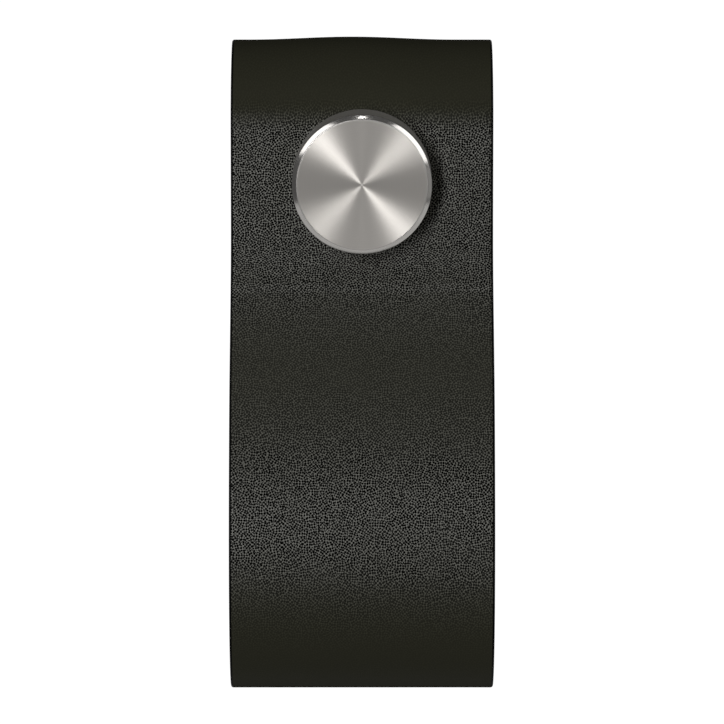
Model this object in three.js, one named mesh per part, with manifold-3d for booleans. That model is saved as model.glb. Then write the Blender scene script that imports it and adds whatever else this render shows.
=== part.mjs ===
// Leather loop knob for a cabinet door or drawer, in millimetres.
// The origin is where the screw's axis meets the cabinet's face. +Y goes into the cabinet, so the
// knob stands out along -Y, +Z is up and +X is the viewer's right.
import * as THREE from 'three';
import { mergeVertices } from 'three/addons/utils/BufferGeometryUtils.js';
import Module from 'manifold-3d';

const wasm = await Module();
wasm.setup();

// Leather strap: one strip, folded over at the top and rounded at the bottom.
const strapWidth = 26;
const leatherThickness = 4;
const cutEdgeBevel = 0.3;
const layerGap = 0.15; // between two layers that lie on each other
const clampTop = 5.4; // the strap is flat from here
const clampBottom = -7; // down to here, under the button
const topFoldRise = 7.8; // outside height of the top fold
const tuckedEndBelowFold = 0.4;
const backTailEnd = -10.5; // where the rear layer ends
const bellyReach = 9.5; // how far the loop swells out past the clamped layers
const bellyHeight = -38; // height of the belly's foremost point
const bottomFoldDrop = 13.3; // outside height of the bottom fold
const frontEasing = 0.24; // share of the front's curve that leaves the clamp straight down
const bellyEasing = 0.42; // share of the front's curve that runs into the belly
const rearLegSettles = -27; // the inner leg lies on the cabinet from here down
const curveSteps = 20;

// Button: a turned head on a boss that goes through the layers.
const headDiameter = 13.75;
const headHeight = 6;
const headBevel = 0.45;
const bossDiameter = 7;
const bossSetback = 1; // the boss stops short of the cabinet, so the screw pinches the leather
const bossHoleClearance = 0.3; // round the boss in the punched holes
const tappedDepth = 10;
const drillPoint = 1.2;
const turnedSides = 72;

// Machine screw, M4 with a pan head and a cross recess.
const screwDiameter = 4;
const screwLength = 25;
const screwTipChamfer = 0.6;
const threadClearance = 0.15; // round the screw in the tapped hole
const doorThickness = 18;
const screwHeadDiameter = 8;
const screwHeadHeight = 3.1;
const screwHeadRim = 1.1; // straight part of the head's side
const recessSpan = 4.2;
const recessFloorSpan = 1.6;
const recessWidth = 1;
const recessDepth = 2;

const layerPitch = leatherThickness + layerGap;
const stackDepth = 2 * layerPitch + leatherThickness;
const frontMiddle = stackDepth - leatherThickness / 2; // middles of the three layers, out from the cabinet
const tuckedMiddle = layerPitch + leatherThickness / 2;
const rearMiddle = leatherThickness / 2;
const bellyMiddle = stackDepth + bellyReach - leatherThickness / 2;
const overcut = 1; // how far a cutting tool runs past what it cuts

const leather = new THREE.MeshStandardMaterial({ color: 0x1e1f1a, roughness: 0.55, metalness: 0 });
const spunSteel = new THREE.MeshStandardMaterial({ color: 0xb9b6b1, roughness: 0.28, metalness: 1 });
const platedSteel = new THREE.MeshStandardMaterial({ color: 0xa7a9ab, roughness: 0.35, metalness: 1 });

// A closed solid for cutting and joining, from a geometry that may have split corners.
function toManifold(geometry) {
  const positions = new THREE.BufferGeometry();
  positions.setAttribute('position', geometry.getAttribute('position'));
  positions.setIndex(geometry.getIndex());
  const merged = mergeVertices(positions, 1e-5);
  const vertProperties = Float32Array.from(merged.getAttribute('position').array);
  const triVerts = Uint32Array.from(merged.getIndex().array);
  return new wasm.Manifold(new wasm.Mesh({ numProp: 3, vertProperties, triVerts }));
}

// Back to a geometry for a Mesh.
function toGeometry(manifold) {
  const { vertProperties, triVerts } = manifold.getMesh();
  const geometry = new THREE.BufferGeometry();
  geometry.setAttribute('position', new THREE.BufferAttribute(vertProperties, 3));
  geometry.setIndex(new THREE.BufferAttribute(triVerts, 1));
  geometry.computeVertexNormals();
  return geometry;
}

// The middle line of the strap seen from its side: x is the distance out from the cabinet, y the height.
// It starts at the tucked end between the layers and finishes at the end of the rear tail.
function strapMiddleLine() {
  const point = (out, height) => new THREE.Vector2(out, height);
  const line = new THREE.CurvePath();

  // The inner leg goes down between the layers, then leans back onto the cabinet.
  const legDrop = backTailEnd - rearLegSettles;
  line.add(new THREE.LineCurve(point(tuckedMiddle, clampTop - tuckedEndBelowFold), point(tuckedMiddle, backTailEnd)));
  line.add(new THREE.CubicBezierCurve(
    point(tuckedMiddle, backTailEnd),
    point(tuckedMiddle, backTailEnd - 0.45 * legDrop),
    point(rearMiddle, rearLegSettles + 0.45 * legDrop),
    point(rearMiddle, rearLegSettles),
  ));
  line.add(new THREE.LineCurve(point(rearMiddle, rearLegSettles), point(rearMiddle, bellyHeight)));

  // Round the bottom to the foremost point of the belly.
  line.add(new THREE.EllipseCurve(
    (rearMiddle + bellyMiddle) / 2,
    bellyHeight,
    (bellyMiddle - rearMiddle) / 2,
    bottomFoldDrop - leatherThickness / 2,
    Math.PI,
    2 * Math.PI,
  ));

  // Up the front and in under the button.
  const frontRise = clampBottom - bellyHeight;
  line.add(new THREE.CubicBezierCurve(
    point(bellyMiddle, bellyHeight),
    point(bellyMiddle, bellyHeight + bellyEasing * frontRise),
    point(frontMiddle, clampBottom - frontEasing * frontRise),
    point(frontMiddle, clampBottom),
  ));
  line.add(new THREE.LineCurve(point(frontMiddle, clampBottom), point(frontMiddle, clampTop)));

  // Over the top and down the back.
  line.add(new THREE.EllipseCurve(
    (frontMiddle + rearMiddle) / 2,
    clampTop,
    (frontMiddle - rearMiddle) / 2,
    topFoldRise - leatherThickness / 2,
    0,
    Math.PI,
  ));
  line.add(new THREE.LineCurve(point(rearMiddle, clampTop), point(rearMiddle, backTailEnd)));
  return line;
}

// The strap's section: its middle line with half the leather's thickness laid off to each side.
function strapSection() {
  const left = [];
  const right = [];
  const half = leatherThickness / 2;
  strapMiddleLine().curves.forEach((curve, index) => {
    const steps = curve.isLineCurve ? 1 : curveSteps;
    for (let step = index === 0 ? 0 : 1; step <= steps; step += 1) {
      const at = curve.getPoint(step / steps);
      const along = curve.getTangent(step / steps);
      left.push(new THREE.Vector2(at.x - half * along.y, at.y + half * along.x));
      right.push(new THREE.Vector2(at.x + half * along.y, at.y - half * along.x));
    }
  });
  return new THREE.Shape([...left, ...right.reverse()]);
}

function makeStrap() {
  const section = new THREE.ExtrudeGeometry(strapSection(), {
    depth: strapWidth - 2 * cutEdgeBevel,
    bevelThickness: cutEdgeBevel,
    bevelSize: cutEdgeBevel,
    bevelOffset: -cutEdgeBevel,
    bevelSegments: 1,
    steps: 1,
  });
  section.translate(0, 0, cutEdgeBevel - strapWidth / 2);
  const sideways = new THREE.Matrix4().makeBasis(
    new THREE.Vector3(0, -1, 0),
    new THREE.Vector3(0, 0, 1),
    new THREE.Vector3(-1, 0, 0),
  );
  section.applyMatrix4(sideways);

  // One punch goes through the three layers for the button's boss.
  const punchLength = stackDepth + 2 * overcut;
  const punchRadius = bossDiameter / 2 + bossHoleClearance;
  const punch = new THREE.CylinderGeometry(punchRadius, punchRadius, punchLength, turnedSides);
  punch.translate(0, -stackDepth / 2, 0);
  const mesh = new THREE.Mesh(toGeometry(toManifold(section).subtract(toManifold(punch))), leather);
  mesh.name = 'leather_strap';
  return mesh;
}

// A turned piece about the screw's axis, from points of radius and distance along +Y.
function turned(points, sides) {
  return new THREE.LatheGeometry(points.map(([radius, along]) => new THREE.Vector2(radius, along)), sides);
}

// The face, wall and boss of the button, drilled from behind.
function makeButton() {
  const seat = -stackDepth;
  const face = seat - headHeight;
  const headRadius = headDiameter / 2;
  const bossRadius = bossDiameter / 2;
  const bossEnd = -bossSetback;
  const holeRadius = screwDiameter / 2 + threadClearance;
  const mesh = new THREE.Mesh(turned([
    [0, face],
    [headRadius - headBevel, face],
    [headRadius, face + headBevel],
    [headRadius, seat],
    [bossRadius, seat],
    [bossRadius, bossEnd],
    [holeRadius, bossEnd],
    [holeRadius, bossEnd - tappedDepth],
    [0, bossEnd - tappedDepth - drillPoint],
  ], turnedSides), spunSteel);
  mesh.name = 'metal_button';
  return mesh;
}

// One slot of the cross recess, wide at the head's top and narrow at its floor.
function recessSlot(topOfHead) {
  const floor = topOfHead - recessDepth;
  const flare = (recessSpan - recessFloorSpan) / 2 / recessDepth;
  const mouth = recessSpan / 2 + flare * overcut;
  const outline = new THREE.Shape([
    new THREE.Vector2(-recessFloorSpan / 2, floor),
    new THREE.Vector2(recessFloorSpan / 2, floor),
    new THREE.Vector2(mouth, topOfHead + overcut),
    new THREE.Vector2(-mouth, topOfHead + overcut),
  ]);
  const slot = new THREE.ExtrudeGeometry(outline, { depth: recessWidth, bevelEnabled: false });
  slot.translate(0, 0, -recessWidth / 2);
  return slot;
}

// The screw comes through the door from inside and into the button's boss.
function makeScrew() {
  const underHead = doorThickness;
  const tip = underHead - screwLength;
  const top = underHead + screwHeadHeight;
  const shank = screwDiameter / 2;
  const headRadius = screwHeadDiameter / 2;
  const crown = new THREE.EllipseCurve(
    0,
    underHead + screwHeadRim,
    headRadius,
    screwHeadHeight - screwHeadRim,
    0,
    Math.PI / 2,
  ).getPoints(8).slice(0, -1).map((at) => [at.x, at.y]);
  const blank = turned([
    [0, tip],
    [shank - screwTipChamfer, tip],
    [shank, tip + screwTipChamfer],
    [shank, underHead],
    [headRadius, underHead],
    ...crown,
    [0, top],
  ], turnedSides);

  const acrossX = recessSlot(top);
  const acrossZ = recessSlot(top).rotateY(Math.PI / 2);
  const cross = toManifold(acrossX).add(toManifold(acrossZ));
  const mesh = new THREE.Mesh(toGeometry(toManifold(blank).subtract(cross)), platedSteel);
  mesh.name = 'machine_screw';
  return mesh;
}

const knob = new THREE.Group();
knob.add(makeStrap(), makeButton(), makeScrew());

export default knob;
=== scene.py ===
"""A leather loop knob with a spun steel button, dressed for a studio picture.

Sizes inside the classes are in millimetres. A finished mesh is brought to metres once, so every
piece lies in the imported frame: +Y into the cabinet, +Z up, origin on the screw's axis.
"""

import logging
import math
from bisect import bisect_right
from dataclasses import dataclass, field
from enum import Enum
from typing import Callable, Iterable, Sequence

import bmesh
import bpy
from mathutils import Matrix, Vector, noise


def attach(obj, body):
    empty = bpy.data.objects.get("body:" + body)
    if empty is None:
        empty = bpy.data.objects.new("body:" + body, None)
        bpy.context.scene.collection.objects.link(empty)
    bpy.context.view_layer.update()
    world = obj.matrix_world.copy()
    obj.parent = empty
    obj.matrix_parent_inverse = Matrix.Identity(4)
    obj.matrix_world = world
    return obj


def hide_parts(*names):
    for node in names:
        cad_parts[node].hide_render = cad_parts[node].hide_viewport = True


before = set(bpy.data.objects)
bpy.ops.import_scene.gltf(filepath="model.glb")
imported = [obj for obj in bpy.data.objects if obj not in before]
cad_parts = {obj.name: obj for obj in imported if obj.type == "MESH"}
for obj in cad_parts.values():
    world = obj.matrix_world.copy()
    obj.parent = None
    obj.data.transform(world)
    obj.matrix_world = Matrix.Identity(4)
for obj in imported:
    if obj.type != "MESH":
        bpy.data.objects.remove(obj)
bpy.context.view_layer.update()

log = logging.getLogger("knob")
MM = 0.001
WELD = 1e-5  # in millimetres: points of a turned piece that lie closer are one
ROOT_BODY = "root"


class Side(Enum):
    """The three kinds of surface on a strip of leather, in the order of its material slots."""

    GRAIN = 0
    FLESH = 1
    CUT_EDGE = 2


class Zone(Enum):
    """The turned surfaces of the button, in the order of its material slots."""

    SPUN_FACE = 0
    POLISHED_BEVEL = 1
    TURNED_WALL = 2
    EASED_RIM = 3


def fill(slot: bpy.types.NodeSocket, value: object) -> None:
    """Link a socket to a shade, or set its value.

    Args:
        slot: the input socket.
        value: a shade, a number, a vector, or a linear colour without its alpha.
    """
    if isinstance(value, Shade):
        value.tree.links.new(value.socket, slot)
    elif slot.type == "RGBA":
        slot.default_value = (*value, 1.0)
    else:
        slot.default_value = value


class Shade:
    """A shader socket that can be used in arithmetic with other sockets and numbers."""

    def __init__(self, tree: bpy.types.NodeTree, socket: bpy.types.NodeSocket) -> None:
        """Wrap one output socket of a node tree."""
        self.tree = tree
        self.socket = socket

    def _math(self, operation: str, *values: "Shade | float") -> "Shade":
        """Add one Math node.

        Args:
            operation: the Math node's operation.
            values: its inputs in order, as sockets or numbers.

        Returns:
            The node's result.
        """
        node = self.tree.nodes.new("ShaderNodeMath")
        node.operation = operation
        for slot, value in zip(node.inputs, values):
            fill(slot, value)
        return Shade(self.tree, node.outputs[0])

    def sibling(self, result: str) -> "Shade":
        """Another output of the same node.

        Args:
            result: the output's name.

        Returns:
            That output.
        """
        return Shade(self.tree, self.socket.node.outputs[result])

    def __add__(self, other: "Shade | float") -> "Shade":
        """Sum."""
        return self._math("ADD", self, other)

    def __radd__(self, other: float) -> "Shade":
        """Sum, with the number first."""
        return self._math("ADD", other, self)

    def __sub__(self, other: "Shade | float") -> "Shade":
        """Difference."""
        return self._math("SUBTRACT", self, other)

    def __rsub__(self, other: float) -> "Shade":
        """Difference, with the number first."""
        return self._math("SUBTRACT", other, self)

    def __mul__(self, other: "Shade | float") -> "Shade":
        """Product."""
        return self._math("MULTIPLY", self, other)

    def __rmul__(self, other: float) -> "Shade":
        """Product, with the number first."""
        return self._math("MULTIPLY", other, self)

    def __truediv__(self, other: "Shade | float") -> "Shade":
        """Quotient."""
        return self._math("DIVIDE", self, other)

    def __pow__(self, other: float) -> "Shade":
        """Power."""
        return self._math("POWER", self, other)

    def rise(self, low: float, high: "float | Shade") -> "Shade":
        """A smooth step from 0 at low to 1 at high. With low above high it falls.

        Args:
            low: the value that gives 0.
            high: the value that gives 1, which may change over the surface.

        Returns:
            The step.
        """
        share = (self - low) / (high - low)
        share.socket.node.use_clamp = True
        return share * share * (3.0 - 2.0 * share)


class Recipe:
    """A node material under construction, ending in one Principled shader."""

    def __init__(self, name: str) -> None:
        """Start an empty material with a Principled shader.

        Args:
            name: the material's name.
        """
        self.material = bpy.data.materials.new(name)
        self.material.use_nodes = True
        self.tree = self.material.node_tree
        self.tree.nodes.clear()
        output = self.tree.nodes.new("ShaderNodeOutputMaterial")
        self.shader = self.tree.nodes.new("ShaderNodeBsdfPrincipled")
        self.tree.links.new(self.shader.outputs[0], output.inputs["Surface"])

    def node(self, kind: str, settings: dict | None = None, result: str | int = 0,
             **inputs: object) -> Shade:
        """Add one node.

        Args:
            kind: the node's type.
            settings: its own properties, set before its sockets.
            result: the output to return, by name or number.
            inputs: values or links by socket name, with _ for a space.

        Returns:
            The chosen output.
        """
        node = self.tree.nodes.new(kind)
        for name, value in (settings or {}).items():
            setattr(node, name, value)
        for name, value in inputs.items():
            fill(node.inputs[name.replace("_", " ")], value)
        return Shade(self.tree, node.outputs[result])

    def mix(self, factor: Shade | float, first: tuple | Shade, second: tuple | Shade) -> Shade:
        """Blend two colours.

        Args:
            factor: 0 for the first colour, 1 for the second.
            first: a linear colour or a socket.
            second: a linear colour or a socket.

        Returns:
            The blended colour.
        """
        node = self.tree.nodes.new("ShaderNodeMix")
        node.data_type = "RGBA"
        slots = [s for s in node.inputs if s.enabled]
        for slot, value in zip(slots, (factor, first, second)):
            fill(slot, value)
        return Shade(self.tree, next(s for s in node.outputs if s.enabled))

    def vector(self, operation: str, *values: Shade | tuple[float, float, float]) -> Shade:
        """Add one Vector Math node.

        Args:
            operation: the node's operation.
            values: its inputs in order, as sockets or vectors.

        Returns:
            The resulting vector.
        """
        node = self.tree.nodes.new("ShaderNodeVectorMath")
        node.operation = operation
        for slot, value in zip(node.inputs, values):
            fill(slot, value)
        return Shade(self.tree, node.outputs["Vector"])

    def bump(self, height: Shade, depth_mm: float) -> Shade:
        """Turn a height from 0 to 1 into a normal.

        Args:
            height: the relief.
            depth_mm: how deep the relief is from 0 to 1.

        Returns:
            The normal.
        """
        return self.node("ShaderNodeBump", result="Normal", Height=height,
                         Distance=depth_mm * MM, Strength=1.0)

    def hide(self) -> Shade:
        """The leather's place in the flat strip, in millimetres."""
        return self.node("ShaderNodeAttribute", {"attribute_name": "hide"}, "Vector")

    def set(self, **inputs: object) -> None:
        """Set or link the shader's sockets, with _ for a space in their names."""
        for name, value in inputs.items():
            fill(self.shader.inputs[name.replace("_", " ")], value)


@dataclass(frozen=True)
class GrainFinish:
    """Olive-black leather with fine pits between connected ridges. Lengths are in millimetres."""

    ridge: tuple[float, float, float] = (0.0720, 0.0715, 0.0470)
    # the grain pattern is the leather's own; this near-black pit colour is painted shade inside the pits
    pit: tuple[float, float, float] = (0.0008, 0.0008, 0.0005)
    pit_pitch: float = 0.246
    pit_scatter: float = 0.20
    pit_depth: float = 0.030
    wander: float = 0.040
    patch: float = 0.50
    patch_wander: float = 0.40
    ridge_roughness: float = 0.62
    pit_roughness: float = 0.90
    polish_roughness: float = 0.52
    polish_index: float = 1.9
    specular: float = 0.0
    even_ridge: float = 0.42
    pit_edge: float = 0.36
    crest: float = 0.56
    crest_change: float = 0.02
    patchiness: float = 0.15
    blotch: float = 4.5
    blotches: float = 0.5
    fullness: float = 1.05
    wander_pits: float = 2.5
    patch_turn: float = 90.0

    def build(self) -> bpy.types.Material:
        """The grain side's material, which fades where the hide is pressed smooth.

        The rows of pits run in a direction of their own in each small patch of the hide.

        Returns:
            The material.
        """
        recipe = Recipe("leather_grain")
        hide = recipe.hide()
        strength = recipe.node("ShaderNodeAttribute", {"attribute_name": "grain"}, "Fac")
        polish = recipe.node("ShaderNodeAttribute", {"attribute_name": "polish"}, "Fac")
        drift = recipe.node("ShaderNodeTexNoise", {"noise_dimensions": "2D"}, "Color",
                            Vector=hide, Scale=1.0 / (self.wander_pits * self.pit_pitch), Detail=1.0)
        shifted = recipe.vector("MULTIPLY_ADD", drift, (self.wander,) * 3, hide)
        bent = recipe.vector("MULTIPLY_ADD", drift, (self.patch_wander,) * 3, hide)
        cells = {"voronoi_dimensions": "2D", "feature": "F1"}
        patch = recipe.node("ShaderNodeTexVoronoi", cells, "Color", Vector=bent, Scale=1.0 / self.patch)
        share = recipe.node("ShaderNodeSeparateColor", {}, "Red", Color=patch)
        bearing = math.radians(self.patch_turn) * share
        turned = recipe.node("ShaderNodeVectorRotate", {"rotation_type": "Z_AXIS"},
                             Vector=shifted, Center=patch.sibling("Position"), Angle=bearing)
        distance = recipe.node("ShaderNodeTexVoronoi", cells, "Distance",
                               Vector=turned, Scale=1.0 / self.pit_pitch, Randomness=self.pit_scatter)
        shades = recipe.node("ShaderNodeTexNoise", {"noise_dimensions": "2D"}, "Fac",
                             Vector=hide, Scale=1.0 / self.blotch, Detail=2.0)
        raised = distance.rise(self.pit_edge, self.crest + self.crest_change * (shades - 0.5))
        depth = strength * (self.fullness + self.blotches * (shades - 0.5))
        ridge = self.even_ridge + depth * (raised - self.even_ridge)
        shine = ridge * (1.0 + self.patchiness * (shades - 0.5))
        recipe.set(
            # the pits take the near-black pit colour, painted shade in the grain's hollows, which fades with
            # the grain where it is pressed smooth
            Base_Color=recipe.mix(ridge, self.pit, self.ridge),
            Roughness=self.pit_roughness + (self.ridge_roughness - self.pit_roughness) * ridge,
            Coat_Weight=polish * shine,
            Coat_Roughness=self.polish_roughness,
            Coat_IOR=self.polish_index,
            Specular_IOR_Level=self.specular,
            Normal=recipe.bump(ridge, self.pit_depth),
        )
        return recipe.material


@dataclass(frozen=True)
class EdgeFinish:
    """Cut leather edge, dyed black and burnished. Lengths are in millimetres."""

    dye: tuple[float, float, float] = (0.0080, 0.0080, 0.0068)
    worn: tuple[float, float, float] = (0.0240, 0.0228, 0.0190)
    corner: tuple[float, float, float] = (0.0006, 0.0006, 0.0005)
    corner_from: float = 1.70
    corner_full: float = 1.86
    fibre: float = 0.25
    fibre_draw: float = 0.12
    fibre_shades: tuple[float, float] = (0.35, 0.7)
    relief: float = 0.018
    roughness: float = 0.60
    roughness_change: float = 0.25
    specular: float = 0.05

    def build(self) -> bpy.types.Material:
        """The cut edge's material: fibres drawn out along the strip, and black burnished corners.

        Returns:
            The material.
        """
        recipe = Recipe("leather_cut_edge")
        hide = recipe.hide()
        drawn = recipe.node("ShaderNodeMapping", Vector=hide, Scale=(1.0, self.fibre_draw, 1.0))
        fibres = recipe.node("ShaderNodeTexNoise", {}, "Fac", Vector=drawn, Scale=1.0 / self.fibre,
                             Detail=3.0)
        depth = recipe.node("ShaderNodeSeparateXYZ", {}, "Z", Vector=hide)
        corner = (depth * depth).rise(self.corner_from ** 2, self.corner_full ** 2)
        middle = recipe.mix(fibres.rise(*self.fibre_shades), self.dye, self.worn)
        recipe.set(
            Base_Color=recipe.mix(corner, middle, self.corner),
            Roughness=self.roughness + self.roughness_change * (fibres - 0.5),
            Specular_IOR_Level=self.specular,
            Normal=recipe.bump(fibres, self.relief),
        )
        return recipe.material


@dataclass(frozen=True)
class FleshFinish:
    """The strip's inner side: dyed-through fibres with a matt nap. Lengths are in millimetres."""

    dark: tuple[float, float, float] = (0.0100, 0.0096, 0.0080)
    light: tuple[float, float, float] = (0.0270, 0.0255, 0.0205)
    nap: float = 0.22
    clump: float = 3.0
    clump_share: float = 0.3
    shades: tuple[float, float] = (0.3, 0.7)
    relief: float = 0.05
    roughness: float = 0.95
    specular: float = 0.15
    sheen: float = 0.15
    sheen_roughness: float = 0.6

    def build(self) -> bpy.types.Material:
        """The flesh side's material.

        Returns:
            The material.
        """
        recipe = Recipe("leather_flesh")
        hide = recipe.hide()
        fuzz = recipe.node("ShaderNodeTexNoise", {}, "Fac", Vector=hide, Scale=1.0 / self.nap, Detail=4.0,
                           Roughness=0.65, Distortion=0.6)
        clumps = recipe.node("ShaderNodeTexNoise", {}, "Fac", Vector=hide, Scale=1.0 / self.clump,
                             Detail=2.0)
        uneven = (1.0 - self.clump_share) * fuzz + self.clump_share * clumps
        recipe.set(
            Base_Color=recipe.mix(uneven.rise(*self.shades), self.dark, self.light),
            Roughness=self.roughness,
            Specular_IOR_Level=self.specular,
            Sheen_Weight=self.sheen,
            Sheen_Roughness=self.sheen_roughness,
            Normal=recipe.bump(fuzz, self.relief),
        )
        return recipe.material


@dataclass(frozen=True)
class SpunFinish:
    """Steel turned with fine rings, which draws light out into rays. Lengths are in millimetres."""

    name: str = "spun_face"
    steel: tuple[float, float, float] = (0.62, 0.592, 0.557)
    roughness: float = 0.40
    stretch: float = 1.0
    ring_pitch: float = 0.045
    ring_shades: tuple[float, float] = (0.3, 0.7)
    darkest: float = 0.94
    roughness_change: float = 0.06
    quarter_turn: float = 0.25

    def build(self) -> bpy.types.Material:
        """The face's material: rings about the screw's axis.

        Returns:
            The material.
        """
        recipe = Recipe(self.name)
        place = recipe.node("ShaderNodeTexCoord", result="Object")
        x, y, z = (recipe.node("ShaderNodeSeparateXYZ", result=axis, Vector=place) for axis in "XYZ")
        cut = ((x * x + z * z) ** 0.5 + y) / MM
        rings = recipe.node("ShaderNodeTexNoise", {"noise_dimensions": "1D"}, "Fac",
                            W=cut / self.ring_pitch, Scale=1.0, Detail=2.0)
        around = recipe.node("ShaderNodeTangent", {"direction_type": "RADIAL", "axis": "Y"})
        darker = tuple(self.darkest * part for part in self.steel)
        recipe.set(
            Base_Color=recipe.mix(rings.rise(*self.ring_shades), darker, self.steel),
            Metallic=1.0,
            Roughness=self.roughness + self.roughness_change * (rings - 0.5),
            Anisotropic=self.stretch,
            Anisotropic_Rotation=self.quarter_turn,
            Tangent=around,
        )
        return recipe.material


@dataclass(frozen=True)
class BrightFinish:
    """Smooth turned or plated metal with faint tool rings. Lengths are in millimetres."""

    name: str
    metal: tuple[float, float, float]
    roughness: float
    ring_pitch: float = 0.08
    ring_change: float = 0.05
    clouds_per_mm: float = 0.7
    cloud_shades: tuple[float, float] = (0.3, 0.7)
    cloud_change: float = 0.06
    darkest: float = 0.93

    def build(self) -> bpy.types.Material:
        """The metal's material, with rings along the screw's axis.

        Returns:
            The material.
        """
        recipe = Recipe(self.name)
        place = recipe.node("ShaderNodeTexCoord", result="Object")
        along = recipe.node("ShaderNodeSeparateXYZ", result="Y", Vector=place) / MM
        rings = recipe.node("ShaderNodeTexNoise", {"noise_dimensions": "1D"}, "Fac",
                            W=along / self.ring_pitch, Scale=1.0, Detail=1.0)
        cloud = recipe.node("ShaderNodeTexNoise", {}, "Fac", Vector=place,
                            Scale=self.clouds_per_mm / MM, Detail=2.0)
        darker = tuple(self.darkest * part for part in self.metal)
        ringed = self.roughness + self.ring_change * (rings - 0.5)
        recipe.set(
            Base_Color=recipe.mix(cloud.rise(*self.cloud_shades), darker, self.metal),
            Metallic=1.0,
            Roughness=ringed + self.cloud_change * (cloud - 0.5),
        )
        return recipe.material


def finish_mesh(bm: bmesh.types.BMesh, name: str, materials: Iterable[bpy.types.Material],
                sharp_degrees: float = 35.0) -> bpy.types.Object:
    """Bring a mesh from millimetres to metres and put it in the scene.

    Args:
        bm: the mesh, which is freed.
        name: the piece's name.
        materials: its material slots in order.
        sharp_degrees: edges that turn more than this stay sharp.

    Returns:
        The piece, with its object at the origin.
    """
    bmesh.ops.transform(bm, matrix=Matrix.Scale(MM, 4), verts=bm.verts)
    mesh = bpy.data.meshes.new(name)
    bm.to_mesh(mesh)
    bm.free()
    for material in materials:
        mesh.materials.append(material)
    mesh.shade_smooth()
    mesh.set_sharp_from_angle(angle=math.radians(sharp_degrees))
    piece = bpy.data.objects.new(name, mesh)
    bpy.context.scene.collection.objects.link(piece)
    return piece


def ease(value: float, low: float, high: float) -> float:
    """A smooth step from 0 at low to 1 at high.

    Args:
        value: where to read it.
        low: the value that gives 0.
        high: the value that gives 1.

    Returns:
        The step.
    """
    share = min(1.0, max(0.0, (value - low) / (high - low)))
    return share * share * (3.0 - 2.0 * share)


def dress(piece: bpy.types.Object, node: str) -> None:
    """Let a piece stand for its CAD node.

    Args:
        piece: the finished piece.
        node: the CAD node that it replaces.
    """
    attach(piece, ROOT_BODY)
    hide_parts(node)
    log.info("%s: %d faces, stands for %s", piece.name, len(piece.data.polygons), node)


@dataclass(frozen=True)
class Run:
    """One stretch of the strap's middle line, seen from the side as (out, height)."""

    point: Callable[[float], Vector]
    rows: int


@dataclass
class FoldedPath:
    """The strap's middle line, measured by its length. Lengths are in millimetres."""

    runs: list[Run] = field(default_factory=list)
    fineness: int = 24
    curve_over_chord: float = 1.05
    points: list[Vector] = field(default_factory=list)
    lengths: list[float] = field(default_factory=list)
    stations: list[float] = field(default_factory=list)

    def line(self, start: tuple[float, float], end: tuple[float, float], pitch: float) -> None:
        """Add a straight run.

        Args:
            start: its first point.
            end: its last point.
            pitch: about how far apart the strap's rows lie.
        """
        a, b = Vector(start), Vector(end)
        self.runs.append(Run(lambda t: a.lerp(b, t), max(1, round((b - a).length / pitch))))

    def cubic(self, points: Sequence[tuple[float, float]], pitch: float) -> None:
        """Add a cubic curve through its first and last points.

        Args:
            points: the four control points.
            pitch: about how far apart the strap's rows lie.
        """
        a, b, c, d = (Vector(p) for p in points)

        def at(t: float) -> Vector:
            """The curve's point at a share of its parameter."""
            u = 1.0 - t
            return a * u ** 3 + b * (3 * u * u * t) + c * (3 * u * t * t) + d * t ** 3

        self.runs.append(Run(at, round((d - a).length * self.curve_over_chord / pitch)))

    def arc(self, centre: tuple[float, float], radii: tuple[float, float], start: float,
            pitch: float) -> None:
        """Add half an ellipse, turning anticlockwise.

        Args:
            centre: its centre.
            radii: its half widths outwards and upwards.
            start: the angle where it starts, in radians.
            pitch: about how far apart the strap's rows lie.
        """
        middle = Vector(centre)

        def at(t: float) -> Vector:
            """The ellipse's point at a share of its half turn."""
            turn = start + math.pi * t
            return middle + Vector((radii[0] * math.cos(turn), radii[1] * math.sin(turn)))

        self.runs.append(Run(at, round(math.pi * sum(radii) / 2 / pitch)))

    def measure(self) -> None:
        """Work out the length along the path and the place of each row."""
        travelled = 0.0
        for run in self.runs:
            steps = run.rows * self.fineness
            for step in range(steps + 1):
                at = run.point(step / steps)
                if self.points:
                    travelled += (at - self.points[-1]).length
                if step or not self.points:
                    self.points.append(at)
                    self.lengths.append(travelled)
            first = self.stations[-1] if self.stations else 0.0
            self.stations += [first + (travelled - first) * row / run.rows
                              for row in range(0 if not self.stations else 1, run.rows + 1)]

    def at(self, length: float) -> tuple[Vector, Vector]:
        """The middle line's point and direction at a length along it.

        Args:
            length: the distance from the tucked end.

        Returns:
            The point and the unit direction.
        """
        i = min(max(bisect_right(self.lengths, length), 1), len(self.lengths) - 1)
        span = self.lengths[i] - self.lengths[i - 1]
        share = (length - self.lengths[i - 1]) / span if span else 0.0
        point = self.points[i - 1].lerp(self.points[i], share)
        before, after = max(i - 2, 0), min(i + 1, len(self.points) - 1)
        return point, (self.points[after] - self.points[before]).normalized()

    def apex(self, sign: float) -> float:
        """The length at which the path is highest, for a sign of 1, or lowest, for a sign of -1."""
        heights = [sign * point.y for point in self.points]
        return self.lengths[heights.index(max(heights))]


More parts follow.
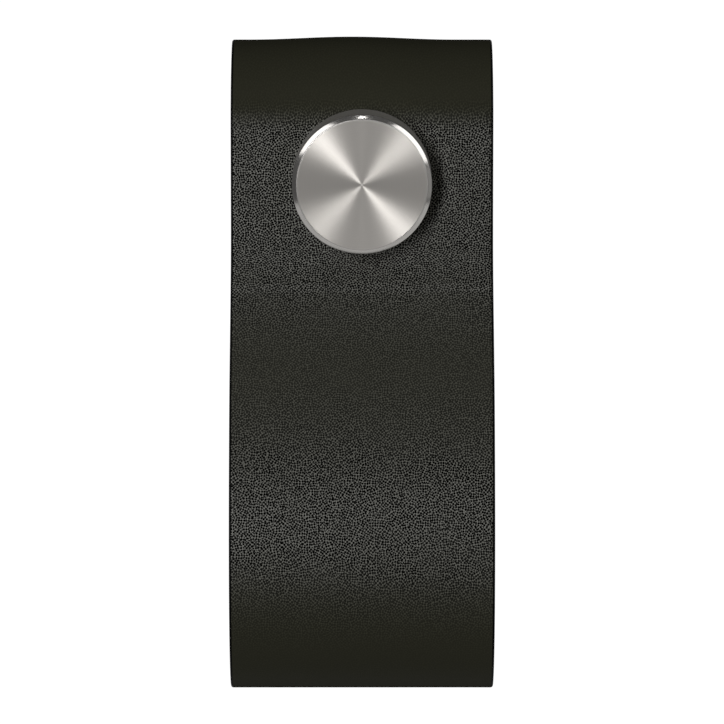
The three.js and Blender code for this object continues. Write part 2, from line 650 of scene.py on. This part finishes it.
@dataclass
class LeatherStrap:
    """One strip of leather: cut flat, its edges rounded, punched three times and folded."""

    width: float = 26.0
    thickness: float = 4.0
    layer_gap: float = 0.15
    edge_radius: float = 0.22
    edge_steps: int = 4
    clamp_top: float = 5.4
    clamp_bottom: float = -7.0
    top_rise: float = 7.8
    tuck_below: float = 0.4
    tail_end: float = -10.5
    belly_reach: float = 9.5
    belly_height: float = -38.0
    bottom_drop: float = 13.3
    front_easing: float = 0.24
    belly_easing: float = 0.42
    leg_settles: float = -27.0
    leg_easing: float = 0.45
    hole_radius: float = 3.8
    hole_rim: float = 0.12
    rim_steps: int = 2
    rim_turn: float = 60.0
    pitch: float = 0.5
    window: float = 3.0
    window_slack: float = 0.01
    window_outside: float = 4.5
    side_slack: float = 0.002
    crown: float = 0.29
    crown_reach: float = 10.2
    crown_middle: float = -1.0
    draw_in: float = 0.05
    pinch: float = 0.03
    spread: float = 0.10
    spread_between: tuple[float, float] = (3.0, 24.0)
    swell: float = 0.07
    swell_reach: float = 2.5
    swell_above: float = 2.0
    swell_below: float = 4.0
    button_radius: float = 6.875
    ripple: float = 0.02
    ripple_across: float = 7.0
    ripple_along: float = 9.0
    ripple_layer: float = 0.3
    ripple_settles: float = 6.0
    top_pressed: tuple[float, float] = (5.6, 8.8)
    bottom_pressed: tuple[float, float] = (7.5, 19.0)
    drawn_below_screw: float = 20.2
    drawn_reach: float = 12.0
    drawn_loss: float = 0.54
    worn_polish: tuple[tuple[float, float], ...] = (
        (5.5, 1.0), (9.0, 0.72), (13.0, 0.84), (20.0, 0.58), (33.0, 0.81))
    faintest: float = 0.06
    top_dulled: tuple[float, float] = (6.5, 8.9)
    bottom_dulled: tuple[float, float] = (9.0, 16.0)
    top_dullest: float = 0.05
    bottom_dullest: float = 0.25
    top_apex: float = 0.0
    bottom_apex: float = 0.0
    drawn_middle: float = 0.0

    def stack(self) -> float:
        """Depth of the three clamped layers."""
        return 3 * self.thickness + 2 * self.layer_gap

    def path(self) -> FoldedPath:
        """The strip's route from its tucked end to the end of its rear tail.

        Returns:
            The measured route.
        """
        half = self.thickness / 2
        front = self.stack() - half
        tucked = half + self.thickness + self.layer_gap
        belly = self.stack() + self.belly_reach - half
        drop = self.tail_end - self.leg_settles
        rise = self.clamp_bottom - self.belly_height
        path = FoldedPath()

        def straight(out: float, heights: Sequence[float]) -> None:
            """A vertical run that has rows at each of these heights."""
            for top, bottom in zip(heights, heights[1:]):
                path.line((out, top), (out, bottom), self.pitch)

        straight(tucked, (self.clamp_top - self.tuck_below, self.window, -self.window, self.tail_end))
        path.cubic(((tucked, self.tail_end),
                    (tucked, self.tail_end - self.leg_easing * drop),
                    (half, self.leg_settles + self.leg_easing * drop),
                    (half, self.leg_settles)), self.pitch)
        path.line((half, self.leg_settles), (half, self.belly_height), self.pitch)
        path.arc(((half + belly) / 2, self.belly_height), ((belly - half) / 2, self.bottom_drop - half),
                 math.pi, self.pitch)
        path.cubic(((belly, self.belly_height),
                    (belly, self.belly_height + self.belly_easing * rise),
                    (front, self.clamp_bottom - self.front_easing * rise),
                    (front, self.clamp_bottom)), self.pitch)
        straight(front, (self.clamp_bottom, -self.window, self.window, self.clamp_top))
        path.arc(((front + half) / 2, self.clamp_top), ((front - half) / 2, self.top_rise - half),
                 0.0, self.pitch)
        straight(half, (self.clamp_top, self.window, -self.window, self.tail_end))
        path.measure()
        return path

    def hole_places(self, path: FoldedPath) -> list[float]:
        """Find where the screw's axis crosses the strip.

        Args:
            path: the route.

        Returns:
            The lengths along the strip.
        """
        places = []
        for before, after in zip(range(len(path.points) - 1), range(1, len(path.points))):
            low, high = path.points[before].y, path.points[after].y
            if low * high < 0 or (low == 0 and high != 0):
                share = low / (low - high)
                places.append(path.lengths[before] + share * (path.lengths[after] - path.lengths[before]))
        return places

    def cut_strip(self, path: FoldedPath, holes: Sequence[float]) -> bmesh.types.BMesh:
        """The strip lying flat: X across it, Y along it, its grain side up.

        Args:
            path: the route, for the rows' places.
            holes: the lengths at which it is punched.

        Returns:
            The flat strip, closed, with rounded edges.
        """
        columns = round(self.width / self.pitch)
        rows = len(path.stations) - 1
        bm = bmesh.new()
        bmesh.ops.create_grid(bm, x_segments=columns, y_segments=rows, size=0.5)
        for vert in bm.verts:
            row = round((vert.co.y + 0.5) * rows)
            vert.co = Vector((vert.co.x * self.width, path.stations[row], 0.0))
        self._punch(bm, holes)
        bmesh.ops.recalc_face_normals(bm, faces=bm.faces)
        if bm.faces[:][0].normal.z < 0:
            bmesh.ops.reverse_faces(bm, faces=bm.faces)
        top = bmesh.ops.extrude_face_region(bm, geom=bm.faces[:], use_keep_orig=True)["geom"]
        lifted = [g for g in top if isinstance(g, bmesh.types.BMVert)]
        bmesh.ops.translate(bm, vec=(0, 0, self.thickness), verts=lifted)
        bmesh.ops.translate(bm, vec=(0, 0, -self.thickness / 2), verts=bm.verts)
        bmesh.ops.recalc_face_normals(bm, faces=bm.faces)
        self._round_edges(bm, holes)
        return bm

    def _punch(self, bm: bmesh.types.BMesh, holes: Sequence[float]) -> None:
        """Open a round hole at each place and draw the rows near it into rings.

        Args:
            bm: the flat strip while it is one sheet of faces.
            holes: the lengths at which it is punched.
        """
        edge = self.window - self.window_slack

        def in_window(face: bmesh.types.BMFace) -> bool:
            """True for a face inside the square that a hole takes out."""
            at = face.calc_center_median()
            return any(max(abs(at.x), abs(at.y - place)) < edge for place in holes)

        inside = [f for f in bm.faces if in_window(f)]
        bmesh.ops.delete(bm, geom=inside, context="FACES")
        for vert in bm.verts:
            for place in holes:
                arm = Vector((vert.co.x, vert.co.y - place))
                square = max(abs(arm.x), abs(arm.y))
                if square < self.window_outside:
                    share = (square - self.window) / (self.window_outside - self.window)
                    ring = arm.normalized() * self.hole_radius
                    flat = ring.lerp(arm * (self.window_outside / square), share)
                    vert.co.x, vert.co.y = flat.x, flat.y + place

    def _round_edges(self, bm: bmesh.types.BMesh, holes: Sequence[float]) -> None:
        """Round the strip's outer edges and take the sharpness off the holes.

        Args:
            bm: the flat strip with its thickness.
            holes: the lengths at which it is punched.
        """
        turn = math.radians(self.rim_turn)
        rims = [e for e in bm.edges if len(e.link_faces) == 2 and e.calc_face_angle(0.0) > turn]

        def near_hole(edge: bmesh.types.BMEdge) -> bool:
            """True for an edge on a hole's rim."""
            at = (edge.verts[0].co + edge.verts[1].co) / 2
            return any(Vector((at.x, at.y - place)).length < self.window_outside for place in holes)

        outer = [e for e in rims if not near_hole(e)]
        inner = [e for e in rims if near_hole(e)]
        for edges, offset, steps in ((outer, self.edge_radius, self.edge_steps),
                                     (inner, self.hole_rim, self.rim_steps)):
            bmesh.ops.bevel(bm, geom=edges, offset=offset, offset_type="OFFSET", segments=steps,
                            profile=0.5, affect="EDGES", material=-1, clamp_overlap=True)

    def mark_sides(self, bm: bmesh.types.BMesh) -> None:
        """Give each face of the flat strip the kind of surface that it is.

        Args:
            bm: the flat strip with its edges rounded.
        """
        flat = self.thickness / 2 - self.side_slack
        for face in bm.faces:
            height = face.calc_center_median().z
            if height > flat:
                side = Side.GRAIN
            elif height < -flat:
                side = Side.FLESH
            else:
                side = Side.CUT_EDGE
            face.material_index = side.value

    def grain_strength(self, length: float) -> float:
        """How much of the grain is left at a length along the strip, where folds press it smooth.

        Args:
            length: the distance from the tucked end.

        Returns:
            The strength, from 0 to 1.
        """
        from_top = abs(length - self.top_apex)
        from_bottom = abs(length - self.bottom_apex)
        from_drawn = abs(length - self.drawn_middle)
        pressed = ease(from_top, *self.top_pressed) * ease(from_bottom, *self.bottom_pressed)
        drawn = 1.0 - self.drawn_loss * (1.0 - ease(from_drawn, 0.0, self.drawn_reach))
        return (self.faintest + (1 - self.faintest) * pressed) * drawn

    def polish_strength(self, length: float) -> float:
        """How much of the polish is left at a length along the strip, which the folds have dulled.

        Args:
            length: the distance from the tucked end.

        Returns:
            The strength, from 0 to 1.
        """
        top = ease(abs(length - self.top_apex), *self.top_dulled)
        bottom = ease(abs(length - self.bottom_apex), *self.bottom_dulled)
        below_screw = self.drawn_middle + self.drawn_below_screw - length
        worn = self.worn_polish[0][1]
        for (start, before), (end, after) in zip(self.worn_polish, self.worn_polish[1:]):
            worn += (after - before) * ease(below_screw, start, end)
        return (worn * (self.top_dullest + (1 - self.top_dullest) * top)
                * (self.bottom_dullest + (1 - self.bottom_dullest) * bottom))

    def fold(self, bm: bmesh.types.BMesh, path: FoldedPath) -> None:
        """Lay the flat strip along its route, keeping its flat measure as the attribute hide.

        Args:
            bm: the flat strip.
            path: the route.
        """
        measure = bm.verts.layers.float_vector.new("hide")
        grain = bm.verts.layers.float.new("grain")
        polish = bm.verts.layers.float.new("polish")
        front_middle = self.stack() - self.thickness / 2
        swell_from, swell_to = self.clamp_bottom - self.swell_below, self.clamp_top + self.swell_above
        for vert in bm.verts:
            x, length, up = vert.co
            vert[measure] = (x + self.width, length, up)
            point, along = path.at(length)
            vert[grain] = self.grain_strength(length)
            vert[polish] = self.polish_strength(length)
            out = point.x + up * along.y
            height = point.y - up * along.x
            over = max(0.0, (point.y - self.clamp_top) / (self.top_rise - self.thickness / 2))
            folded = min(1.0, over)
            aside = min(1.0, abs(x - self.crown_middle) / self.crown_reach)
            height += self.crown * folded * 0.5 * (1.0 + math.cos(math.pi * aside))
            spread = self.spread * ease(-point.y, *self.spread_between)
            x *= 1.0 + 2 * (spread - self.pinch - self.draw_in * folded ** 2) / self.width
            if out > front_middle and swell_from < height < swell_to:
                beyond = math.hypot(x, height) - self.button_radius
                out += self.swell * ease(beyond, 0.0, self.swell_reach)
            spot = Vector((x / self.ripple_across, length / self.ripple_along, self.ripple_layer))
            below = max(0.0, self.clamp_bottom - point.y)
            out += self.ripple * noise.noise(spot) * min(1.0, over + below / self.ripple_settles)
            vert.co = Vector((x, -out, height))

    def build(self) -> bpy.types.Object:
        """Make the whole strap.

        Returns:
            The piece.
        """
        path = self.path()
        holes = self.hole_places(path)
        self.top_apex, self.bottom_apex = path.apex(1.0), path.apex(-1.0)
        self.drawn_middle = holes[1] - self.drawn_below_screw
        log.info("strap: %.1f mm long, punched at %s", path.lengths[-1], [round(h, 2) for h in holes])
        bm = self.cut_strip(path, holes)
        self.mark_sides(bm)
        self.fold(bm, path)
        materials = [GrainFinish().build(), FleshFinish().build(), EdgeFinish().build()]
        return finish_mesh(bm, "folded_strap", materials, sharp_degrees=40.0)


def spin_profile(points: Sequence[tuple[float, float]], sides: int) -> bmesh.types.BMesh:
    """Turn a profile about the screw's axis.

    Args:
        points: radius and distance along +Y, from axis to axis.
        sides: how many steps the turn has.

    Returns:
        The closed solid.
    """
    bm = bmesh.new()
    verts = [bm.verts.new((radius, along, 0.0)) for radius, along in points]
    edges = [bm.edges.new(pair) for pair in zip(verts, verts[1:])]
    bmesh.ops.spin(bm, geom=verts + edges, cent=(0, 0, 0), axis=(0, 1, 0), angle=math.tau, steps=sides,
                   use_merge=True)
    bmesh.ops.remove_doubles(bm, verts=bm.verts, dist=WELD)
    bmesh.ops.recalc_face_normals(bm, faces=bm.faces)
    return bm


def corner(start: tuple[float, float], at: tuple[float, float], end: tuple[float, float], radius: float,
           steps: int = 4) -> list[tuple[float, float]]:
    """Round one corner of a turned profile.

    Args:
        start: a point before the corner.
        at: the corner.
        end: a point after it.
        radius: how far along each side the rounding starts.
        steps: how many edges the rounding has.

    Returns:
        The points that take the corner's place.
    """
    tip = Vector(at)
    a = tip + (Vector(start) - tip).normalized() * radius
    b = tip + (Vector(end) - tip).normalized() * radius
    rounded = []
    for step in range(steps + 1):
        t = step / steps
        rounded.append(tuple(a * (1 - t) ** 2 + tip * (2 * t * (1 - t)) + b * t * t))
    return rounded


def rounded_profile(points: Sequence[tuple[float, float, float]]) -> list[tuple[float, float]]:
    """Round the corners of a profile.

    Args:
        points: radius, distance along +Y, and how far from the corner its rounding starts.

    Returns:
        The profile's points.
    """
    outline = [(points[0][0], points[0][1])]
    for before, here, after in zip(points, points[1:], points[2:]):
        outline += corner(before[:2], here[:2], after[:2], here[2]) if here[2] else [here[:2]]
    return outline + [(points[-1][0], points[-1][1])]


@dataclass
class SteelButton:
    """The turned head and the boss that goes through the leather."""

    seat: float = 12.3
    diameter: float = 13.75
    height: float = 6.0
    bevel: float = 0.45
    bevel_slope: float = 36.0
    boss_diameter: float = 7.0
    boss_setback: float = 1.0
    bore_diameter: float = 4.3
    bore_depth: float = 10.0
    drill_point: float = 1.2
    centre_mark: float = 0.16
    centre_depth: float = 0.05
    mark_round: float = 0.04
    edge_round: float = 0.07
    seat_round: float = 0.12
    boss_root: float = 0.1
    boss_round: float = 0.25
    bore_lead: float = 0.25
    lead_round: float = 0.03
    rim_reach: float = 0.7
    face_slack: float = 0.0004
    rim_metal: tuple[float, float, float] = (0.47, 0.455, 0.435)
    sides: int = 256

    def face(self) -> float:
        """Where the face lies along +Y."""
        return -self.seat - self.height

    def drop(self) -> float:
        """How far the bevel falls back from the face."""
        return self.bevel * math.tan(math.radians(self.bevel_slope))

    def profile(self) -> list[tuple[float, float]]:
        """The outline that is turned, from the middle of the face to the end of the bore.

        Returns:
            Radius and distance along +Y.
        """
        radius, boss, bore = self.diameter / 2, self.boss_diameter / 2, self.bore_diameter / 2
        boss_end = -self.boss_setback
        return rounded_profile([
            (0.0, self.face() + self.centre_depth, 0),
            (self.centre_mark, self.face(), self.mark_round),
            (radius - self.bevel, self.face(), self.edge_round),
            (radius, self.face() + self.drop(), self.edge_round),
            (radius, -self.seat, self.seat_round),
            (boss, -self.seat, self.boss_root),
            (boss, boss_end, self.boss_round),
            (bore + self.bore_lead, boss_end, self.lead_round),
            (bore, boss_end - self.bore_lead, self.lead_round),
            (bore, boss_end - self.bore_depth, 0),
            (0.0, boss_end - self.bore_depth - self.drill_point, 0),
        ])

    def zone(self, middle: Vector) -> Zone:
        """Which turned surface a facet belongs to.

        Args:
            middle: the facet's middle.

        Returns:
            The surface.
        """
        out = math.hypot(middle.x, middle.z)
        rim = self.diameter / 2 - self.bevel + self.rim_reach * self.edge_round
        if middle.y < self.face() + self.edge_round and out < rim:
            spun = middle.y < self.face() + self.face_slack or out < self.centre_mark
            return Zone.SPUN_FACE if spun else Zone.EASED_RIM
        beveled = middle.y < self.face() + self.drop() + self.edge_round
        return Zone.POLISHED_BEVEL if beveled else Zone.TURNED_WALL

    def build(self) -> bpy.types.Object:
        """Make the button.

        Returns:
            The piece.
        """
        bm = spin_profile(self.profile(), self.sides)
        for facet in bm.faces:
            facet.material_index = self.zone(facet.calc_center_median()).value
        finishes = [
            SpunFinish(),
            BrightFinish("polished_bevel", self.rim_metal, 0.16),
            SpunFinish("turned_wall", (0.60, 0.580, 0.554), 0.36, stretch=0.4, ring_pitch=0.06),
            BrightFinish("eased_rim", self.rim_metal, 0.30),
        ]
        return finish_mesh(bm, "spun_button", [finish.build() for finish in finishes], sharp_degrees=40.0)


@dataclass
class MachineScrew:
    """M4 screw with a rolled thread, a pan head and a cross recess."""

    diameter: float = 4.0
    thread_pitch: float = 0.7
    thread_depth: float = 0.38
    thread_flanks: tuple[float, float, float, float] = (0.18, 0.46, 0.58, 0.86)
    thread_weld: float = 0.001
    spare_turns: int = 3
    length: float = 25.0
    under_head: float = 18.0
    tip_chamfer: float = 0.6
    head_diameter: float = 8.0
    head_height: float = 3.1
    head_rim: float = 1.1
    head_round: float = 0.1
    head_overlap: float = 0.3
    crown_steps: int = 14
    recess_span: float = 4.2
    recess_floor: float = 1.6
    recess_width: float = 1.0
    recess_depth: float = 2.0
    driver_spread: float = 1.3
    driver_widths: tuple[float, float] = (0.8, 1.15)
    driver_above: float = 0.5
    sharp_degrees: float = 30.0
    turn_steps: int = 48
    head_sides: int = 128

    def shank(self) -> bmesh.types.BMesh:
        """The threaded shank, cut flat at both ends and closed.

        The thread's flanks are places along one turn, as shares of the pitch.

        Returns:
            The shank.
        """
        crest, root = self.diameter / 2, self.diameter / 2 - self.thread_depth
        pitch = self.thread_pitch
        tip = self.under_head - self.length
        start = tip - pitch
        reaches = (root, root, crest, crest, root, root)
        shape = zip(reaches, (0.0, *self.thread_flanks, 1.0))
        turns = math.ceil(self.length / pitch) + self.spare_turns
        bm = bmesh.new()
        verts = [bm.verts.new((r, start + share * pitch, 0.0)) for r, share in shape]
        edges = [bm.edges.new(pair) for pair in zip(verts, verts[1:])]
        bmesh.ops.spin(bm, geom=verts + edges, cent=(0, 0, 0), axis=(0, 1, 0), angle=math.tau,
                       steps=self.turn_steps, dvec=(0, pitch / self.turn_steps, 0), use_merge=False)
        one_turn = bm.verts[:] + bm.edges[:] + bm.faces[:]
        for number in range(1, turns):
            copy = bmesh.ops.duplicate(bm, geom=one_turn)["geom"]
            moved = [g for g in copy if isinstance(g, bmesh.types.BMVert)]
            bmesh.ops.translate(bm, vec=(0, number * pitch, 0), verts=moved)
        bmesh.ops.remove_doubles(bm, verts=bm.verts, dist=self.thread_weld)
        for at, outwards in ((tip, -1), (self.under_head + self.head_overlap, 1)):
            everything = bm.verts[:] + bm.edges[:] + bm.faces[:]
            cut = bmesh.ops.bisect_plane(bm, geom=everything, plane_co=(0, at, 0), plane_no=(0, outwards, 0),
                                         clear_outer=True)
            rim = [g for g in cut["geom_cut"] if isinstance(g, bmesh.types.BMEdge)]
            bmesh.ops.contextual_create(bm, geom=rim)
        for vert in bm.verts:
            reach = math.hypot(vert.co.x, vert.co.z)
            limit = crest - self.tip_chamfer + (vert.co.y - tip)
            if reach > limit > 0:
                vert.co.x *= limit / reach
                vert.co.z *= limit / reach
        bmesh.ops.recalc_face_normals(bm, faces=bm.faces)
        return bm

    def head(self) -> bmesh.types.BMesh:
        """The plain pan head.

        Returns:
            The head.
        """
        radius = self.head_diameter / 2
        rim, top = self.under_head + self.head_rim, self.under_head + self.head_height
        turns = [math.pi / 2 * step / self.crown_steps for step in range(self.crown_steps)]
        crown = [(radius * math.cos(turn), rim + (top - rim) * math.sin(turn)) for turn in turns]
        centre = (0.0, self.under_head)
        edge = corner(centre, (radius, self.under_head), crown[0], self.head_round)
        return spin_profile([centre, *edge, *crown, (0.0, top)], self.head_sides)

    def recess(self) -> bmesh.types.BMesh:
        """The driver's shape that makes the cross recess: two crossed wedges.

        Returns:
            The shape, which stands out over the head.
        """
        top = self.under_head + self.head_height
        narrow, wide = self.driver_widths
        bm = bmesh.new()
        for turn in (0.0, math.pi / 2):
            made = bmesh.ops.create_cube(bm, size=1.0)["verts"]
            for vert in made:
                above = vert.co.y > 0
                span = self.recess_span * self.driver_spread if above else self.recess_floor
                width = self.recess_width * (wide if above else narrow)
                height = top + self.recess_depth * (self.driver_above if above else -1.0)
                vert.co = Vector((vert.co.x * span, height, vert.co.z * width))
            bmesh.ops.rotate(bm, cent=(0, 0, 0), matrix=Matrix.Rotation(turn, 3, "Y"), verts=made)
        return bm

    def build(self) -> bpy.types.Object:
        """Make the screw as one closed solid.

        Returns:
            The piece.
        """
        plated = BrightFinish("zinc_plate", (0.56, 0.565, 0.57), 0.30)
        screw = finish_mesh(self.head(), "threaded_screw", [plated.build()])
        shank = finish_mesh(self.shank(), "shank_blank", [])
        driver = finish_mesh(self.recess(), "recess_blank", [])
        for other, operation in ((shank, "UNION"), (driver, "DIFFERENCE")):
            step = screw.modifiers.new(operation.lower(), "BOOLEAN")
            step.operation, step.solver, step.object = operation, "EXACT", other
            step.use_self = operation == "DIFFERENCE"
        graph = bpy.context.evaluated_depsgraph_get()
        shaped = bpy.data.meshes.new_from_object(screw.evaluated_get(graph))
        screw.modifiers.clear()
        screw.data = shaped
        shaped.shade_smooth()
        shaped.set_sharp_from_angle(angle=math.radians(self.sharp_degrees))
        for blank in (shank, driver):
            bpy.data.objects.remove(blank)
        return screw


class Reach(Enum):
    """Which pieces a light falls on."""

    STEEL = "steel"
    LEATHER = "leather"


@dataclass(frozen=True)
class Softbox:
    """A rectangular studio light that faces the button. Lengths are in metres."""

    name: str
    towards: tuple[float, float, float]
    distance: float
    size: tuple[float, float]
    watts: float
    reach: Reach

    def place(self) -> bpy.types.Object:
        """Put the light in the scene.

        Returns:
            The light.
        """
        data = bpy.data.lights.new(self.name, "AREA")
        data.shape = "RECTANGLE"
        data.size, data.size_y = self.size
        data.energy = self.watts
        lamp = bpy.data.objects.new(self.name, data)
        away = Vector(self.towards).normalized()
        lamp.location = away * self.distance
        lamp.rotation_mode = "QUATERNION"
        lamp.rotation_quaternion = away.to_track_quat("Z", "Y")
        lamp.visible_camera = False
        bpy.context.scene.collection.objects.link(lamp)
        return lamp


@dataclass
class Studio:
    """Pale floor, soft lights and the camera at the photograph's viewing angle."""

    camera_distance: float = 0.58533
    camera_elevation: float = 6.13
    camera_pitch: float = 8.075
    frame_pixels: int = 724
    pixels_per_radian: float = 5799.0
    sensor: float = 36.0
    floor_drop: float = 0.30
    floor_size: float = 24.0
    floor_shade: tuple[float, float, float] = (0.8, 0.8, 0.8)
    floor_glow: float = 0.95
    glow: float = 0.13

    def lights(self) -> list[Softbox]:
        """The studio's lights. The leather has one key light and weak fills, the steel its own set.

        Returns:
            The lights.
        """
        return [
            Softbox("key", self._direction(13.0, 8.3), 1.2, (0.16, 0.46), 7.25, Reach.LEATHER),
            Softbox("left_fill", (-0.9, 0.44, 0.0), 1.2, (0.9, 0.5), 9.0, Reach.LEATHER),
            Softbox("right_fill", (0.9, 0.44, 0.0), 1.2, (0.9, 0.5), 9.0, Reach.LEATHER),
            Softbox("rear_fill", (0.0, 1.0, 0.1), 1.2, (1.0, 0.7), 3.4, Reach.LEATHER),
            Softbox("under_rim", (0.0, 0.423, -0.906), 0.29, (0.5, 0.1), 0.13, Reach.LEATHER),
            Softbox("left_ray", (-0.30, -0.93, 0.222), 1.2, (0.15, 0.15), 2.12, Reach.STEEL),
            Softbox("right_ray", (0.30, -0.93, 0.193), 1.2, (0.22, 0.22), 1.40, Reach.STEEL),
            Softbox("front_fill", (0.0, -1.0, 0.0), 1.5, (2.2, 2.4), 6.3, Reach.STEEL),
            Softbox("left_side", (-0.700, -0.380, 0.605), 1.0, (0.46, 0.60), 2.15, Reach.STEEL),
            Softbox("right_side", (0.756, -0.373, 0.538), 1.0, (0.44, 0.72), 2.4, Reach.STEEL),
            Softbox("right_card", (0.946, -0.307, -0.08), 1.0, (0.40, 0.45), 0.16, Reach.STEEL),
            Softbox("top_spot", (0.0, -0.409, 0.913), 1.0, (0.08, 0.05), 0.18, Reach.STEEL),
            Softbox("floor_bounce", (0.0, 0.05, -1.0), 0.29, (1.5, 0.8), 2.2, Reach.STEEL),
        ]

    @staticmethod
    def _direction(left: float, up: float) -> tuple[float, float, float]:
        """The direction of a light in front of the knob.

        Args:
            left: degrees to the left.
            up: degrees above the horizon.

        Returns:
            A unit direction.
        """
        a, e = math.radians(left), math.radians(up)
        return (-math.sin(a) * math.cos(e), -math.cos(a) * math.cos(e), math.sin(e))

    def camera(self) -> None:
        """Set the scene's camera."""
        data = bpy.data.cameras.new("photograph")
        data.sensor_width = self.sensor
        data.lens = self.pixels_per_radian * self.sensor / self.frame_pixels
        data.clip_start, data.clip_end = 0.01, 100.0
        camera = bpy.data.objects.new("photograph", data)
        bpy.context.scene.collection.objects.link(camera)
        rise = math.radians(self.camera_elevation)
        camera.location = Vector((0.0, -math.cos(rise), math.sin(rise))) * self.camera_distance
        camera.rotation_euler = (math.radians(90.0 - self.camera_pitch), 0.0, 0.0)
        bpy.context.scene.camera = camera

    def world(self) -> None:
        """Surround the scene with a dim even glow that looks white behind the object."""
        world = bpy.data.worlds.new("studio")
        world.use_nodes = True
        tree = world.node_tree
        tree.nodes.clear()
        output = tree.nodes.new("ShaderNodeOutputWorld")
        blend = tree.nodes.new("ShaderNodeMixShader")
        path = tree.nodes.new("ShaderNodeLightPath")
        backgrounds = [tree.nodes.new("ShaderNodeBackground") for _ in range(2)]
        for background, strength in zip(backgrounds, (self.glow, 1.0)):
            background.inputs["Color"].default_value = (1.0, 1.0, 1.0, 1.0)
            background.inputs["Strength"].default_value = strength
        tree.links.new(path.outputs["Is Camera Ray"], blend.inputs["Fac"])
        tree.links.new(backgrounds[0].outputs[0], blend.inputs[1])
        tree.links.new(backgrounds[1].outputs[0], blend.inputs[2])
        tree.links.new(blend.outputs[0], output.inputs["Surface"])
        bpy.context.scene.world = world

    def floor(self) -> None:
        """Lay the pale floor, well below the knob."""
        recipe = Recipe("pale_floor")
        recipe.set(Base_Color=self.floor_shade, Roughness=0.9,
                   Emission_Color=(1.0, 1.0, 1.0), Emission_Strength=self.floor_glow)
        bm = bmesh.new()
        bmesh.ops.create_grid(bm, x_segments=1, y_segments=1, size=self.floor_size / 2 / MM)
        bmesh.ops.translate(bm, vec=(0, 0, -self.floor_drop / MM), verts=bm.verts)
        floor = finish_mesh(bm, "pale_floor", [recipe.material])
        floor.visible_diffuse = floor.visible_glossy = False

    def build(self, pieces: dict[Reach, Sequence[bpy.types.Object]]) -> None:
        """Set up the whole studio.

        Args:
            pieces: the pieces that each kind of light falls on.
        """
        self.camera()
        self.world()
        self.floor()
        receivers = {}
        for reach, members in pieces.items():
            receivers[reach] = bpy.data.collections.new(f"{reach.value}_pieces")
            for piece in members:
                receivers[reach].objects.link(piece)
        for light in self.lights():
            lamp = light.place()
            lamp.light_linking.receiver_collection = receivers[light.reach]
            log.info("light %s: %.1f W on %s", light.name, light.watts, light.reach.value)
        view = bpy.context.scene.view_settings
        view.view_transform, view.look = "Standard", "None"


def main() -> None:
    """Build the studio and the knob's pieces in order."""
    logging.basicConfig(level=logging.INFO, format="%(name)s: %(message)s")
    strap, button, screw = LeatherStrap().build(), SteelButton().build(), MachineScrew().build()
    dress(strap, "leather_strap")
    dress(button, "metal_button")
    dress(screw, "machine_screw")
    Studio().build({Reach.STEEL: [button, screw], Reach.LEATHER: [strap]})


if __name__ == "__main__":
    main()
